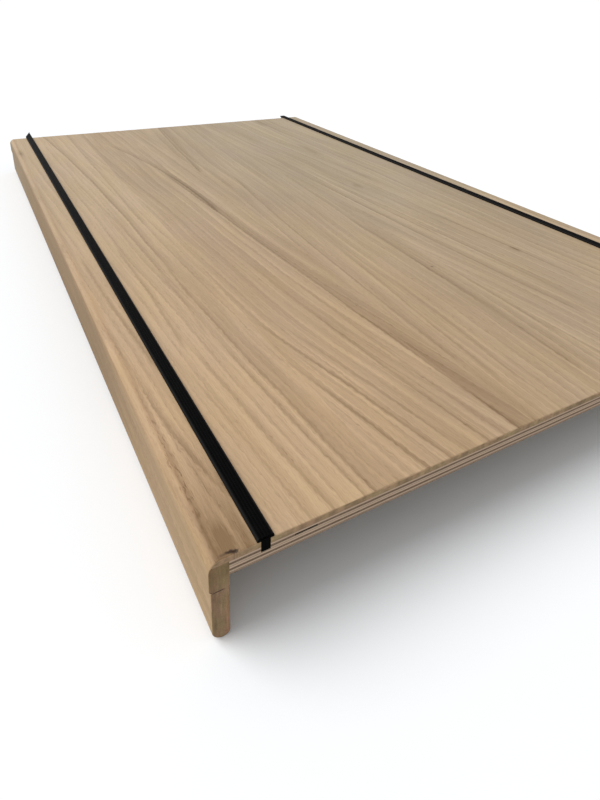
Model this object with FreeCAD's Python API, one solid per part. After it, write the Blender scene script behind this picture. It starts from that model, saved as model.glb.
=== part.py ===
import FreeCAD, Part
import os

# Stair tread for laying over an old step. A birch plywood panel is faced with oak, and each long
# edge carries an oak nosing of two glued pieces, a rail and an apron. A black rubber strip of
# T section is pressed into a groove near each nosing.
# X runs along the tread, Y from the front nosing to the back one and Z up from the floor.
# The tread stands on the round lower edges of its two aprons.

# Driving dimensions in millimetres
tread_length = 1000.0
tread_depth = 610.0
nosing_height = 62.0
face_thickness = 4.0
ply_thickness = 10.0
ply_count = 7

rail_thickness = 12.0
seam_drop = 23.0
seam_edge_radius = 2.2
apron_setback = 1.0
apron_outer_radius = 7.0
top_edge_radius = 8.0
end_edge_radius = 0.8

strip_inset = 28.5
flange_width = 10.5
flange_thickness = 2.5
flange_edge_radius = 1.5
flute_count = 4
flute_width = 1.1
flute_depth = 0.6
stem_width = 5.8
stem_depth = 8.0
stem_edge_radius = 1.4
stem_clearance = 0.1
groove_floor_clearance = 0.2

# The strips are left long at the far end. The front one is cut off on a slant.
front_tail = 40.0
front_tail_slant = 37.0
back_tail = 12.0

# A missing piece of veneer in one ply shows as a slot in the near end of the panel.
core_gap_ply = 2
core_gap_inset = 52.0
core_gap_length = 15.0
core_gap_depth = 6.0

# How far a cutting tool runs past the stock
overrun = 5.0

FRONT = -1
BACK = 1

# Places that follow from the dimensions
near_end = (tread_length + max(front_tail, back_tail)) / 2
far_end = near_end - tread_length
top_z = nosing_height
face_under_z = top_z - face_thickness
panel_under_z = face_under_z - ply_thickness
seam_z = top_z - seam_drop
flange_outer = strip_inset
flange_inner = strip_inset + flange_width
stem_outer = (flange_outer + flange_inner - stem_width) / 2
stem_inner = stem_outer + stem_width
groove_outer = stem_outer - stem_clearance
groove_inner = stem_inner + stem_clearance
stem_floor_z = top_z - stem_depth
groove_floor_z = stem_floor_z - groove_floor_clearance


def across(inset, side):
    """Y of a line that lies inset from the outer face of the nosing on one side."""
    return side * (tread_depth / 2 - inset)


def at(x, inset, z, side):
    """Point at a distance in from the outer face of the nosing on one side."""
    return FreeCAD.Vector(x, across(inset, side), z)


def block(x_from, x_to, y_from, y_to, z_from, z_to):
    """Box between two corners, given in any order across the tread."""
    low_y = min(y_from, y_to)
    corner = FreeCAD.Vector(x_from, low_y, z_from)
    return Part.makeBox(x_to - x_from, abs(y_to - y_from), z_to - z_from, corner)


def extrusion(side, start, steps, x_from, x_to):
    """Carry a closed section along X.

    The section is drawn as (inset, z) points. A step is the next corner, or for an arc a point
    on the arc and then the next corner. The last corner joins up with the start.
    """
    edges = []
    here = start
    for *on_arc, corner in steps + [(start,)]:
        points = [at(x_from, inset, z, side) for inset, z in (here, *on_arc, corner)]
        curve = Part.Arc(*points) if on_arc else Part.LineSegment(*points)
        edges.append(curve.toShape())
        here = corner
    return Part.Face(Part.Wire(edges)).extrude(FreeCAD.Vector(x_to - x_from, 0, 0))


def rounded_corner(corner, radius, inward, upward):
    """Quarter circle that replaces a corner of a section.

    The signs inward and upward point from the corner into the section. Gives the end of the arc
    on the upright side, the arc's middle and its end on the level side.
    """
    inset, z = corner
    bulge = radius * (1 - 0.5 ** 0.5)
    return ((inset, z + upward * radius),
            (inset + inward * bulge, z + upward * bulge),
            (inset + inward * radius, z))


def round_over(side):
    """Waste that a round-over cutter takes off the top outer edge of one nosing."""
    centre = at(far_end - overrun, top_edge_radius, top_z - top_edge_radius, side)
    cut_length = tread_length + 2 * overrun
    corner = block(far_end - overrun, near_end + overrun,
                   across(-overrun, side), across(top_edge_radius, side),
                   top_z - top_edge_radius, top_z + overrun)
    return corner.cut(Part.makeCylinder(top_edge_radius, cut_length, centre, FreeCAD.Vector(1, 0, 0)))


def end_rounding():
    """Waste that sanding takes off the top edges of both ends of the oak face."""
    wide = tread_depth + 2 * overrun
    low_z = top_z - end_edge_radius
    wastes = []
    for end, outward in ((near_end, 1), (far_end, -1)):
        inner_x = end - outward * end_edge_radius
        outer_x = end + outward * overrun
        low_x, high_x = sorted((inner_x, outer_x))
        waste = block(low_x, high_x, -wide / 2, wide / 2, low_z, top_z + overrun)
        axis_start = FreeCAD.Vector(inner_x, -wide / 2 - overrun, low_z)
        roller = Part.makeCylinder(end_edge_radius, wide + 2 * overrun, axis_start, FreeCAD.Vector(0, 1, 0))
        wastes.append(waste.cut(roller))
    return wastes


def groove(side):
    """Slot through the oak and into the plywood that takes the stem of one strip."""
    return block(far_end - overrun, near_end + overrun,
                 across(groove_outer, side), across(groove_inner, side), groove_floor_z, top_z + overrun)


def plywood_panel():
    """Core sheet between the two rails, grooved for the strips and with its core gap."""
    panel = block(far_end, near_end, across(rail_thickness, FRONT), across(rail_thickness, BACK),
                  panel_under_z, face_under_z)
    ply = ply_thickness / ply_count
    gap_top_z = face_under_z - (core_gap_ply - 1) * ply
    core_gap = block(near_end - core_gap_depth, near_end + overrun,
                     across(core_gap_inset, FRONT), across(core_gap_inset + core_gap_length, FRONT),
                     gap_top_z - ply, gap_top_z)
    return panel.cut([groove(FRONT), groove(BACK), core_gap])


def oak_field():
    """Oak face between the two grooves."""
    sheet = block(far_end, near_end, across(groove_inner, FRONT), across(groove_inner, BACK),
                  face_under_z, top_z)
    return sheet.cut(end_rounding())


def oak_lip(side):
    """Oak face outside a groove, out over the rail to the rounded edge."""
    sheet = block(far_end, near_end, across(0, side), across(groove_outer, side), face_under_z, top_z)
    return sheet.cut([round_over(side)] + end_rounding())


def nosing_rail(side):
    """Rail on the long edge of the panel, with its lower outer edge eased above the seam."""
    upright, middle, level = rounded_corner((0, seam_z), seam_edge_radius, 1, 1)
    steps = [((rail_thickness, face_under_z),),
             ((0, face_under_z),),
             (upright,),
             (middle, level)]
    rail = extrusion(side, (rail_thickness, seam_z), steps, far_end, near_end)
    return rail.cut(round_over(side))


def nosing_apron(side):
    """Apron under the rail, set back a little outside, its lower edge rounder outside than inside."""
    inner_radius = rail_thickness - apron_setback - apron_outer_radius
    outer_foot = rounded_corner((apron_setback, 0), apron_outer_radius, 1, 1)
    inner_foot = rounded_corner((rail_thickness, 0), inner_radius, -1, 1)
    steps = [((apron_setback, seam_z),),
             outer_foot[:1],
             outer_foot[1:],
             inner_foot[1::-1]]
    return extrusion(side, (rail_thickness, seam_z), steps, far_end, near_end)


def grip_strip(side, tail):
    """T-section strip with round shoulders and toes and a fluted top, its stem down in the groove."""
    crown_z = top_z + flange_thickness
    crown_outer = flange_outer + flange_edge_radius
    flute_pitch = (flange_width - 2 * flange_edge_radius) / flute_count
    outer_shoulder = rounded_corner((flange_outer, crown_z), flange_edge_radius, 1, -1)
    inner_shoulder = rounded_corner((flange_inner, crown_z), flange_edge_radius, -1, -1)
    inner_toe = rounded_corner((stem_inner, stem_floor_z), stem_edge_radius, -1, 1)
    outer_toe = rounded_corner((stem_outer, stem_floor_z), stem_edge_radius, 1, 1)
    steps = [outer_shoulder[:1], outer_shoulder[1:]]
    for number in range(flute_count):
        middle = crown_outer + flute_pitch * (number + 0.5)
        steps += [((middle - flute_width / 2, crown_z),),
                  ((middle, crown_z - flute_depth), (middle + flute_width / 2, crown_z))]
    steps += [inner_shoulder[2:],
              inner_shoulder[1::-1],
              ((flange_inner, top_z),),
              ((stem_inner, top_z),),
              inner_toe[:1],
              inner_toe[1:],
              outer_toe[2:],
              outer_toe[1::-1],
              ((stem_outer, top_z),)]
    return extrusion(side, (flange_outer, top_z), steps, far_end - tail, near_end)


def slant_cut(side, tail, slant):
    """Waste of a cut across the tail of a strip that leaves its inner edge the longer one."""
    low_z = stem_floor_z - overrun
    end_x = far_end - tail
    points = [at(end_x + slant, flange_outer, low_z, side),
              at(end_x, flange_inner, low_z, side),
              at(end_x - overrun, flange_inner, low_z, side),
              at(end_x - overrun, flange_outer - overrun, low_z, side),
              at(end_x + slant, flange_outer - overrun, low_z, side)]
    height = stem_depth + flange_thickness + 2 * overrun
    outline = Part.makePolygon(points + points[:1])
    return Part.Face(outline).extrude(FreeCAD.Vector(0, 0, height))


pieces = {
    "plywood_panel": plywood_panel(),
    "oak_field": oak_field(),
    "front_grip_strip": grip_strip(FRONT, front_tail).cut(slant_cut(FRONT, front_tail, front_tail_slant)),
    "back_grip_strip": grip_strip(BACK, back_tail),
}
for name, side in (("front", FRONT), ("back", BACK)):
    pieces[name + "_oak_lip"] = oak_lip(side)
    pieces[name + "_nosing_rail"] = nosing_rail(side)
    pieces[name + "_nosing_apron"] = nosing_apron(side)

os.makedirs("parts", exist_ok=True)
for name, shape in pieces.items():
    shape.exportStep("parts/" + name + ".step")
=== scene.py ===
import logging
import math
from dataclasses import dataclass, field
from enum import Enum
from typing import ClassVar, Sequence, Union

import bpy
import numpy as np
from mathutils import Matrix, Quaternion, Vector


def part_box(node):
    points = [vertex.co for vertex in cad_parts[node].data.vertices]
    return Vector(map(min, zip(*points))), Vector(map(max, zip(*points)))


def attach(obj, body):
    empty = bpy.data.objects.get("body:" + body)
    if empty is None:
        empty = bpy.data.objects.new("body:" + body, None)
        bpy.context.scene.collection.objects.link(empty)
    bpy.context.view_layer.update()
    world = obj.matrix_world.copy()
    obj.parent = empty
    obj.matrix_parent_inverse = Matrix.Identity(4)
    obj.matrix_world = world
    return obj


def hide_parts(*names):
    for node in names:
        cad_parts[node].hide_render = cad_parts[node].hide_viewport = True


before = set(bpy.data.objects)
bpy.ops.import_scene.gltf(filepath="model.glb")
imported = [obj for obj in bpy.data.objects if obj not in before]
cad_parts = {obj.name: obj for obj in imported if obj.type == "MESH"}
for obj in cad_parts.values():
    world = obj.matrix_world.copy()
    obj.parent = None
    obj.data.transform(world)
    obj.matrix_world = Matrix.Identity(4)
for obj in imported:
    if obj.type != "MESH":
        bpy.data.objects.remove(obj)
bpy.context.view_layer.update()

LOG = logging.getLogger("stair_tread")
MM = 0.001
HAIR = 0.02 * MM
TINY = 1e-9
BODY = "root"

# Sockets of the node that mixes two colours
MIX_INPUTS = (0, 6, 7)
MIX_RESULT = 2

Triple = tuple[float, float, float]
Colour = Triple
Range = tuple[float, float]
Points = Sequence[tuple[float, float]]
Weights = tuple[tuple[str, float], ...]
Value = Union[float, "Wire"]
Tree = bpy.types.NodeTree


class Side(Enum):
    """Long edge of the tread. The value is the sign of Y on that edge."""

    FRONT = -1
    BACK = 1

    @property
    def word(self) -> str:
        """Lower-case name that starts the names of the pieces on this edge."""
        return self.name.lower()


class Slot(Enum):
    """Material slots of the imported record."""

    OAK_FACE = "oak_face"
    OAK_NOSING = "oak_nosing"
    PLYWOOD = "birch_plywood"
    RUBBER = "black_rubber"


@dataclass(frozen=True)
class TreadSizes:
    """Places on the tread in metres, read from the boxes of the CAD nodes."""

    near_x: float
    far_x: float
    half_depth: float
    top_z: float
    face_under_z: float
    panel_under_z: float
    seam_z: float
    foot_z: float
    rail_thickness: float
    apron_setback: float
    groove_outer: float
    groove_inner: float
    flange_outer: float
    flange_inner: float
    crown_z: float
    stem_floor_z: float

    @classmethod
    def from_frame(cls) -> "TreadSizes":
        """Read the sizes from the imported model.

        Returns:
            The places, with every inset counted in from the outer face of the rail.
        """
        field_low, field_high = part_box("oak_field")
        rail_low, rail_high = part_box("front_nosing_rail")
        apron_low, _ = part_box("front_nosing_apron")
        _, lip_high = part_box("front_oak_lip")
        strip_low, strip_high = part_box("front_grip_strip")
        panel_low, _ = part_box("plywood_panel")
        outer = rail_low.y
        return cls(
            near_x=field_high.x,
            far_x=field_low.x,
            half_depth=-outer,
            top_z=field_high.z,
            face_under_z=field_low.z,
            panel_under_z=panel_low.z,
            seam_z=rail_low.z,
            foot_z=apron_low.z,
            rail_thickness=rail_high.y - outer,
            apron_setback=apron_low.y - outer,
            groove_outer=lip_high.y - outer,
            groove_inner=field_low.y - outer,
            flange_outer=strip_low.y - outer,
            flange_inner=strip_high.y - outer,
            crown_z=strip_high.z,
            stem_floor_z=strip_low.z,
        )

    def across(self, section: np.ndarray, side: Side) -> np.ndarray:
        """Turn rows of inset and height into rows of y and height on one side."""
        y = side.value * (self.half_depth - section[:, 0])
        return np.column_stack([y, section[:, 1]])

    def inset(self, y: np.ndarray) -> np.ndarray:
        """Distance in from the nearer outer face."""
        return self.half_depth - np.abs(y)


@dataclass(frozen=True)
class NosingRound:
    """Quarter round on the top outer edge, cut through the lip and the rail together."""

    sizes: TreadSizes
    radius: float = 8.0 * MM

    @property
    def joint(self) -> float:
        """Angle on the round at which the lip lies on the rail."""
        return math.asin(1 - (self.sizes.top_z - self.sizes.face_under_z) / self.radius)

    def points(self, first: float, last: float, steps: int) -> np.ndarray:
        """Points on a stretch of the round.

        The round's centre lies one radius in and one radius down, so the point at angle t is
        radius * (1 - cos t) in from the outer face and radius * (1 - sin t) below the top.

        Args:
            first: Angle of the first point, counted up from the outer face.
            last: Angle of the last point.
            steps: Number of points.

        Returns:
            Points as rows of inset and height.
        """
        turn = np.linspace(first, last, steps)
        height = self.sizes.top_z - self.radius * (1 - np.sin(turn))
        return np.column_stack([self.radius * (1 - np.cos(turn)), height])


def unit(rows: np.ndarray) -> np.ndarray:
    """Scale each row to a length of 1, and leave a row of noughts as it is."""
    return rows / np.maximum(np.linalg.norm(rows, axis=1, keepdims=True), TINY)


def rounded_outline(corners: np.ndarray, radii: np.ndarray, steps: int) -> np.ndarray:
    """Round the corners of a closed outline with arcs that touch both of its sides.

    At a corner whose sides meet at an angle w, an arc of radius r starts r / tan(w / 2) along
    each side, and its centre lies r / sin(w / 2) along the line that halves the angle. The arc's
    points turn evenly from one touching point to the other.

    Args:
        corners: Corners as rows of two coordinates, in order round the outline.
        radii: Radius at each corner, with 0 for a corner that stays a single point.
        steps: Points on each arc.

    Returns:
        The rounded outline, running anticlockwise.
    """
    sharp = radii <= 0
    to_last = unit(np.roll(corners, 1, axis=0) - corners)
    to_next = unit(np.roll(corners, -1, axis=0) - corners)
    half = np.arccos(np.clip((to_last * to_next).sum(axis=1), -1.0, 1.0)) / 2
    half = np.where(sharp, math.pi / 4, half)[:, None]
    radius = np.maximum(radii, TINY)[:, None]
    centre = corners + unit(to_last + to_next) * radius / np.sin(half)
    first = corners + to_last * radius / np.tan(half) - centre
    last = corners + to_next * radius / np.tan(half) - centre
    turn = (math.pi - 2 * half)[:, :, None]
    share = np.linspace(0.0, 1.0, steps)[None, :, None]
    arc = np.sin((1 - share) * turn) * first[:, None] + np.sin(share * turn) * last[:, None]
    points = centre[:, None] + arc / np.sin(turn)
    points[sharp] = corners[sharp][:, None]
    keep = np.ones(points.shape[:2], dtype=bool)
    keep[sharp, 1:] = False
    outline = points[keep]
    following = np.roll(outline, -1, axis=0)
    area = (outline[:, 0] * following[:, 1] - following[:, 0] * outline[:, 1]).sum()
    return outline if area > 0 else outline[::-1]


def subdivided(outline: np.ndarray, longest: float) -> np.ndarray:
    """Add evenly spaced points to the long sides of a closed outline.

    Args:
        outline: Points as rows of two coordinates.
        longest: Length that no side passes afterwards.

    Returns:
        The outline with its own points and the added ones.
    """
    side = np.roll(outline, -1, axis=0) - outline
    count = np.maximum(1, np.ceil(np.linalg.norm(side, axis=1) / longest).astype(int))
    ordinal = np.arange(count.sum()) - np.repeat(np.cumsum(count) - count, count)
    step = np.repeat(side / count[:, None], count, axis=0)
    return np.repeat(outline, count, axis=0) + step * ordinal[:, None]


def side_middles(outline: np.ndarray) -> np.ndarray:
    """Middle of each side of a closed outline, in order."""
    return (outline + np.roll(outline, -1, axis=0)) / 2


def mitres(outline: np.ndarray, shown: np.ndarray) -> np.ndarray:
    """Outward direction at each point of a closed anticlockwise outline.

    A side's outward direction is its own direction turned a quarter clockwise. Between two shown
    sides the directions are added and divided by one plus their dot product, so that moving along
    the result moves both sides out by the same distance. Next to one hidden side only the shown
    side counts, and between two hidden sides the direction is nothing.

    Args:
        outline: Points as rows of two coordinates.
        shown: Whether each side, from a point to the next, is open to view.

    Returns:
        One direction for each point.
    """
    side = unit(np.roll(outline, -1, axis=0) - outline)
    after = np.column_stack([side[:, 1], -side[:, 0]]) * shown[:, None]
    before = np.roll(after, 1, axis=0)
    return (after + before) / (1 + (after * before).sum(axis=1, keepdims=True))


def smooth_noise(count: int, spacing: int, seed: int) -> np.ndarray:
    """Slowly changing random numbers from 0 to 1.

    Random heights stand every few places, and a cosine curve joins each height to the next.

    Args:
        count: How many numbers to give.
        spacing: Places between two random heights.
        seed: Start of the random draw.

    Returns:
        The numbers in order.
    """
    heights = np.random.default_rng(seed).random(count // spacing + 2)
    place = np.arange(count) / spacing
    index = place.astype(int)
    share = (1 - np.cos((place - index) * math.pi)) / 2
    return heights[index] * (1 - share) + heights[index + 1] * share


@dataclass
class Moulding:
    """Section carried along X, with the shown edges of both ends rounded.

    Attributes:
        outline: Anticlockwise (y, z) points of the section.
        shown: Whether each side of the section is open to view.
        far_x: End on the low side of X, one number or one for each point of the section.
        near_x: End on the high side of X.
        ease: Radius of the end edges, one number or one for each point of the section.
        stations: Places along X, between the ends, that get a ring of points.
        ease_steps: Rings on each rounded end.
    """

    outline: np.ndarray
    shown: np.ndarray
    far_x: Union[float, np.ndarray]
    near_x: float
    ease: Union[float, np.ndarray]
    stations: Sequence[float] = ()
    ease_steps: int = 4

    def grid(self) -> np.ndarray:
        """Points of the surface as rings along X.

        On a rounded end the ring at angle t lies ease * (1 - sin t) short of the end and is drawn
        in by ease * (1 - cos t) along the mitres, for t from 0 to a quarter turn.

        Returns:
            An array of rings by points by three coordinates.
        """
        count = len(self.outline)
        turn = np.linspace(0.0, math.pi / 2, self.ease_steps + 1)[:, None]
        short = np.broadcast_to(self.ease * (1 - np.sin(turn)), (len(turn), count))
        drawn = np.broadcast_to(self.ease * (1 - np.cos(turn)), (len(turn), count))
        between = np.repeat(np.asarray(self.stations, dtype=float)[:, None], count, axis=1)
        x = np.vstack([(self.far_x + short)[::-1], between, self.near_x - short])
        inset = np.vstack([drawn[::-1], np.zeros_like(between), drawn])
        section = self.outline[None] - mitres(self.outline, self.shown)[None] * inset[:, :, None]
        return np.concatenate([x[:, :, None], section], axis=2)


def closed_mesh(name: str, grid: np.ndarray, sharp_degrees: float) -> bpy.types.Object:
    """Make a closed object from rings of points, with a flat face at each end.

    Args:
        name: Name of the new piece.
        grid: Rings by points by three coordinates, with each ring anticlockwise seen from +X.
        sharp_degrees: Edges that turn by more than this stay sharp.

    Returns:
        The new object, at the origin.
    """
    rings, count = grid.shape[:2]
    place = np.arange(rings * count).reshape(rings, count)
    after = np.roll(place, -1, axis=1)
    quads = np.stack([place[:-1], after[:-1], after[1:], place[1:]], axis=2).reshape(-1, 4)
    faces = quads.tolist() + [place[-1].tolist(), place[0, ::-1].tolist()]
    mesh = bpy.data.meshes.new(name)
    mesh.from_pydata(grid.reshape(-1, 3).tolist(), [], faces)
    mesh.polygons.foreach_set("use_smooth", np.arange(len(faces)) < len(quads))
    mesh.set_sharp_from_angle(angle=math.radians(sharp_degrees))
    mesh.update()
    piece = bpy.data.objects.new(name, mesh)
    bpy.context.scene.collection.objects.link(piece)
    weighted = piece.modifiers.new("flat_sides", "WEIGHTED_NORMAL")
    weighted.keep_sharp = True
    return piece


class Wire:
    """Output of a shader node. Arithmetic on it adds the nodes that work out the result."""

    def __init__(self, sheet: "NodeSheet", socket: bpy.types.NodeSocket) -> None:
        """Take hold of one output of a node on a sheet."""
        self.sheet = sheet
        self.socket = socket

    def __add__(self, other: Value) -> "Wire":
        """Sum with a wire or a number."""
        return self.sheet.math("ADD", self, other)

    def __sub__(self, other: Value) -> "Wire":
        """What is left when a wire or a number is taken away."""
        return self.sheet.math("SUBTRACT", self, other)

    def __rsub__(self, other: float) -> "Wire":
        """What is left of a number when this is taken away."""
        return self.sheet.math("SUBTRACT", other, self)

    def __mul__(self, other: Value) -> "Wire":
        """Product with a wire or a number."""
        return self.sheet.math("MULTIPLY", self, other)

    def __truediv__(self, other: Value) -> "Wire":
        """Share of a wire or a number."""
        return self.sheet.math("DIVIDE", self, other)

    def __abs__(self) -> "Wire":
        """Size without the sign."""
        return self.sheet.math("ABSOLUTE", self)

    def scaled(self, factor: Value, plus: Value, clamp: bool = False) -> "Wire":
        """This times a factor plus an amount, kept from 0 to 1 where clamp is set."""
        return self.sheet.math("MULTIPLY_ADD", self, factor, plus, clamp=clamp)

    def clamped(self, plus: Value = 0.0) -> "Wire":
        """This plus an amount, kept from 0 to 1."""
        return self.sheet.math("ADD", self, plus, clamp=True)

    def swing(self, amount: float) -> "Wire":
        """Turn noise from 0 to 1 into a swing of this amount about nothing."""
        return self.scaled(amount, -amount / 2)

    def smooth(self, start: Value, end: Value) -> "Wire":
        """Rise smoothly from 0 at start to 1 at end, or fall where end is below start."""
        return self.sheet.wired("MapRange", self, start, end, interpolation_type="SMOOTHSTEP")


class NodeSheet:
    """Short ways to add and wire the nodes of one tree."""

    def __init__(self, tree: Tree) -> None:
        """Start on the node tree of a material, a world or a group."""
        self.tree = tree

    def node(self, kind: str, **settings: object) -> bpy.types.Node:
        """Add a node and set its properties.

        Args:
            kind: Type name of the node, without the leading ShaderNode.
            **settings: Properties of the node.

        Returns:
            The new node.
        """
        made = self.tree.nodes.new("ShaderNode" + kind)
        for name, value in settings.items():
            setattr(made, name, value)
        return made

    def feed(self, socket: bpy.types.NodeSocket, value: object) -> None:
        """Wire an input to an output, or write a plain value into it.

        Args:
            socket: Input that is fed.
            value: Wire or plain value.
        """
        if isinstance(value, Wire):
            self.tree.links.new(value.socket, socket)
        else:
            socket.default_value = value

    def wired(self, kind: str, *values: object, **settings: object) -> Wire:
        """Add a node, feed its inputs in order and take its first output.

        Args:
            kind: Type name of the node, without the leading ShaderNode.
            *values: What feeds the inputs.
            **settings: Properties of the node.

        Returns:
            The first output.
        """
        made = self.node(kind, **settings)
        for socket, value in zip(made.inputs, values):
            self.feed(socket, value)
        return Wire(self, made.outputs[0])

    def named(self, node: bpy.types.Node, **values: object) -> dict[str, Wire]:
        """Feed inputs of a node by name.

        Args:
            node: Node that is fed.
            **values: Input names, with _ for a space, and what feeds them.

        Returns:
            The outputs of the node by name.
        """
        for name, value in values.items():
            self.feed(node.inputs[name.replace("_", " ")], value)
        return {socket.name: Wire(self, socket) for socket in node.outputs if socket.name}

    def group(self, tree: Tree, **values: object) -> dict[str, Wire]:
        """Place a node group, feed its inputs by name and give its outputs by name."""
        return self.named(self.node("Group", node_tree=tree), **values)

    def math(self, operation: str, *values: Value, clamp: bool = False) -> Wire:
        """Work out one step of arithmetic, kept from 0 to 1 where clamp is set."""
        return self.wired("Math", *values, operation=operation, use_clamp=clamp)

    def length(self, x: Wire, y: Wire) -> Wire:
        """Length of the long side of a right triangle."""
        return self.math("SQRT", x * x + y * y)

    def parts(self, vector: Wire) -> list[Wire]:
        """Take a vector apart into its three numbers."""
        return list(self.named(self.node("SeparateXYZ"), Vector=vector).values())

    def noise(
        self, x: Value, y: Value, z: Value = 0.0, detail: float = 2.0, roughness: float = 0.5
    ) -> Wire:
        """Cloudy noise from 0 to 1 with features about one unit wide.

        Args:
            x: First coordinate.
            y: Second coordinate.
            z: Third coordinate.
            detail: Octaves of finer noise on top.
            roughness: Weight of the finer octaves.

        Returns:
            The noise value.
        """
        point = self.wired("CombineXYZ", x, y, z)
        made = self.node("TexNoise")
        return self.named(made, Vector=point, Scale=1.0, Detail=detail, Roughness=roughness)["Fac"]

    def chance(self, value: Wire) -> Wire:
        """Give each number its own random value from 0 to 1."""
        return self.named(self.node("TexWhiteNoise", noise_dimensions="1D"), W=value)["Value"]

    def mix(self, share: Value, first: object, second: object, blend: str = "MIX") -> Wire:
        """Mix two colours.

        Args:
            share: Weight of the second colour.
            first: Colour at 0.
            second: Colour at 1.
            blend: How the second colour acts on the first.

        Returns:
            The mixed colour.
        """
        made = self.node("Mix", data_type="RGBA", blend_type=blend)
        for place, value in zip(MIX_INPUTS, (share, opaque(first), opaque(second))):
            self.feed(made.inputs[place], value)
        return Wire(self, made.outputs[MIX_RESULT])

    def tinted(self, colour: Wire, mask: Value, tint: object) -> Wire:
        """Multiply a colour by a tint, as far as a mask from 0 to 1 says."""
        return self.mix(mask, colour, tint, "MULTIPLY")

    def curve(self, value: Wire, points: Points, joining: str = "EASE") -> Wire:
        """Follow a curve through points, level past both of its ends.

        Args:
            value: Place along the curve.
            points: Places along it, in order, and the numbers there.
            joining: How the numbers between two points are found.

        Returns:
            The number at the place.
        """
        places, numbers = np.array(points, dtype=float).T
        reach = np.ptp(places)
        rise = max(np.ptp(numbers), TINY)
        made = self.node("ValToRGB")
        made.color_ramp.interpolation = joining
        elements = made.color_ramp.elements
        ready = len(elements)
        shares = zip((places - places[0]) / reach, (numbers - numbers.min()) / rise)
        for order, (position, level) in enumerate(shares):
            element = elements[order] if order < ready else elements.new(1.0)
            element.position = position
            element.color = (level, level, level, 1.0)
        share = value.scaled(1 / reach, -places[0] / reach)
        return self.named(made, Fac=share)["Color"].scaled(rise, numbers.min())

    def choice(self, value: Wire, numbers: Sequence[float]) -> Wire:
        """Give each equal stretch of 0 to 1 its own number."""
        stops = [(order / len(numbers), number) for order, number in enumerate((*numbers, numbers[-1]))]
        return self.curve(value, stops, "CONSTANT")


def opaque(colour: object) -> object:
    """Add full opacity to a plain colour, and leave a wire as it is."""
    return colour if isinstance(colour, Wire) else (*colour, 1.0)


class GroupSheet(NodeSheet):
    """Sheet of a node group whose inputs and outputs are numbers."""

    def __init__(self, name: str, inputs: Sequence[str], outputs: Sequence[str]) -> None:
        """Start the group.

        Args:
            name: Name of the group.
            inputs: Names of its inputs.
            outputs: Names of its outputs.
        """
        super().__init__(bpy.data.node_groups.new(name, "ShaderNodeTree"))
        for titles, way in ((inputs, "INPUT"), (outputs, "OUTPUT")):
            for title in titles:
                self.tree.interface.new_socket(title, in_out=way, socket_type="NodeSocketFloat")
        self.given = self.named(self.tree.nodes.new("NodeGroupInput"))
        self.result = self.tree.nodes.new("NodeGroupOutput")

    def give(self, **values: Wire) -> Tree:
        """Feed outputs of the group by name and hand over its tree."""
        self.named(self.result, **values)
        return self.tree


def tread_place(sizes: TreadSizes) -> Tree:
    """Distances from the ends and faces of the tread.

    Args:
        sizes: Places on the tread.

    Returns:
        Group with Along from the near end, Rest from the far end, Across from the front outer face,
        Inset from the nearer outer face, Below from the top, and End, which is 1 on sawn ends.
    """
    sheet = GroupSheet("Tread place", [], ["Along", "Across", "Below", "Rest", "Inset", "End"])
    x, y, z = sheet.parts(sheet.named(sheet.node("TexCoord"))["Object"])
    along = x * (1 / MM)
    across = y * (1 / MM)
    facing = sheet.parts(sheet.named(sheet.node("NewGeometry"))["True Normal"])[0]
    end_range = (0.5, 0.9)
    return sheet.give(
        Along=sizes.near_x / MM - along,
        Rest=along - sizes.far_x / MM,
        Across=across + sizes.half_depth / MM,
        Inset=sizes.half_depth / MM - abs(across),
        Below=sizes.top_z / MM - z * (1 / MM),
        End=abs(facing).smooth(*end_range),
    )


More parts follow.
